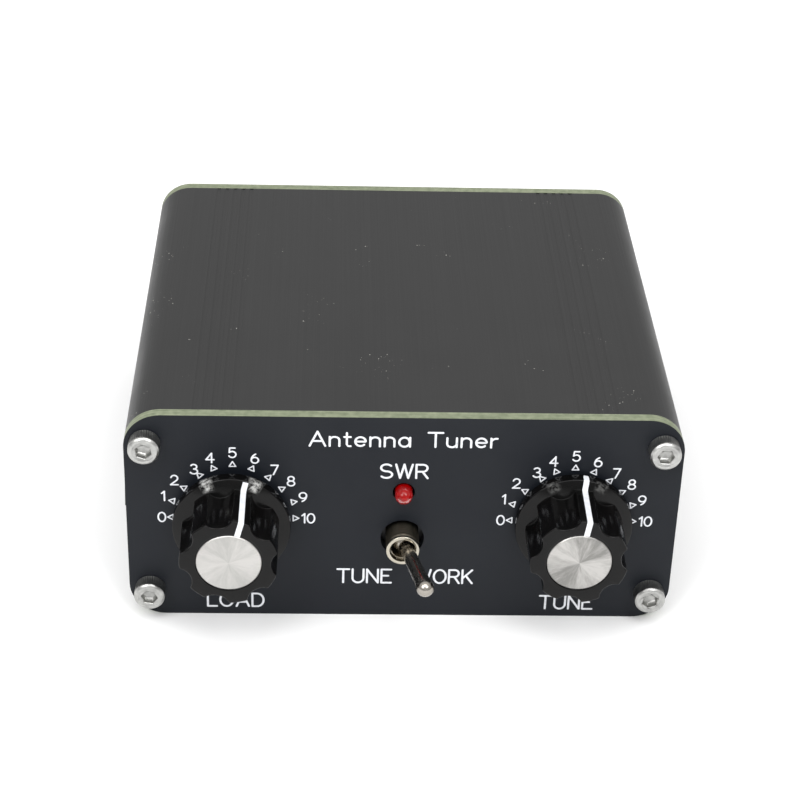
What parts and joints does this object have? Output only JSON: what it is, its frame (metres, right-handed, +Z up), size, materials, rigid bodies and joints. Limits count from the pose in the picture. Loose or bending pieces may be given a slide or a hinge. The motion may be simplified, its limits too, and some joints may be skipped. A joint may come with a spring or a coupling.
{
  "type": "antenna tuner",
  "caption": "Small antenna tuner in a split aluminium case, with fluted tuning knobs, a toggle switch and a lamp in front and coaxial jacks and binding posts behind.",
  "frame": {"origin": "centre of the case's footprint, on the underside that it rests on", "axes": "+X to the right seen from the front, +Y from the front panel to the rear, +Z up"},
  "size_m": [0.0976, 0.1258, 0.042],
  "materials": {
    "anodised_case": "satin",
    "panel_board": "satin",
    "stainless_screw": "satin",
    "knob_black": "gloss",
    "spun_aluminium": "satin",
    "brass": "satin",
    "steel": "satin",
    "clear_plastic": "gloss",
    "chrome": "polished",
    "nickel": "polished",
    "black_plastic": "satin",
    "red_plastic": "gloss",
    "blue_plastic": "satin",
    "lamp_red": "gloss",
    "tinned_wire": "satin",
    "main_board": "satin",
    "iron_powder": "matte",
    "enamelled_copper": "gloss",
    "component_body": "satin",
    "white_insulator": "satin",
    "wire_insulation": "satin"
  },
  "bodies": {
    "enclosure": {"antenna_jack": "nickel", "black_post_base": "black_plastic", "board_capacitors": "component_body", "bridge_resistors": "component_body", "detector_diode": "component_body", "front_panel": "panel_board", "front_panel_screws": "stainless_screw", "hookup_wires": "wire_insulation", "jack_contacts": "brass", "jack_insulators": "white_insulator", "jack_nuts": "nickel", "jack_washers": "nickel", "lamp_resistor": "component_body", "link_winding": "enamelled_copper", "load_capacitor_case": "clear_plastic", "load_capacitor_screws": "steel", "load_capacitor_stator": "brass", "lower_case": "anodised_case", "main_board": "main_board", "post_nuts": "nickel", "post_rear_bushes": "black_plastic", "post_studs": "nickel", "radio_jack": "nickel", "rear_panel": "panel_board", "rear_panel_screws": "stainless_screw", "red_post_base": "red_plastic", "swr_lamp": "lamp_red", "swr_lamp_leads": "tinned_wire", "toggle_body": "blue_plastic", "toggle_bushing": "nickel", "toggle_terminals": "brass", "toroid_core": "iron_powder", "toroid_winding": "enamelled_copper", "tune_capacitor_case": "clear_plastic", "tune_capacitor_screws": "steel", "tune_capacitor_stator": "brass", "upper_case": "anodised_case"},
    "load_control": {"load_knob": "knob_black", "load_knob_cap": "spun_aluminium", "load_knob_bush": "brass", "load_knob_grub_screw": "steel", "load_shaft_extension": "steel", "load_shaft_screw": "steel", "load_capacitor_rotor": "brass"},
    "tune_control": {"tune_knob": "knob_black", "tune_knob_cap": "spun_aluminium", "tune_knob_bush": "brass", "tune_knob_grub_screw": "steel", "tune_shaft_extension": "steel", "tune_shaft_screw": "steel", "tune_capacitor_rotor": "brass"},
    "switch_lever": {"toggle_lever": "chrome", "toggle_plunger": "black_plastic"},
    "switch_rockers": {"toggle_rockers": "brass"},
    "red_cap": {"red_post_cap": "red_plastic"},
    "black_cap": {"black_post_cap": "black_plastic"}
  },
  "joints": [
    {"name": "load_knob_turn", "type": "hinge", "parent": "enclosure", "child": "load_control", "pos_m": [-0.03, -0.0455, 0.021], "axis": [0, 1, 0], "range_deg": [-105, 75]},
    {"name": "tune_knob_turn", "type": "hinge", "parent": "enclosure", "child": "tune_control", "pos_m": [0.03, -0.0455, 0.021], "axis": [0, 1, 0], "range_deg": [-98.5, 81.5]},
    {"name": "toggle_throw", "type": "hinge", "parent": "enclosure", "child": "switch_lever", "pos_m": [0, -0.046, 0.0169], "axis": [0, 0, -1], "range_deg": [0, 28.2]},
    {"name": "rocker_tip", "type": "hinge", "parent": "enclosure", "child": "switch_rockers", "pos_m": [0, -0.0351, 0.0169], "axis": [0, 0, -1], "range_deg": [-16, 0]},
    {"name": "red_cap_travel", "type": "slide", "parent": "enclosure", "child": "red_cap", "axis": [0, 1, 0], "range_m": [0, 0.005]},
    {"name": "black_cap_travel", "type": "slide", "parent": "enclosure", "child": "black_cap", "axis": [0, 1, 0], "range_m": [0, 0.005]}
  ],
  "couplings": [
    {"joint": "rocker_tip", "follows": "toggle_throw", "ratio": -0.5674}
  ]
}
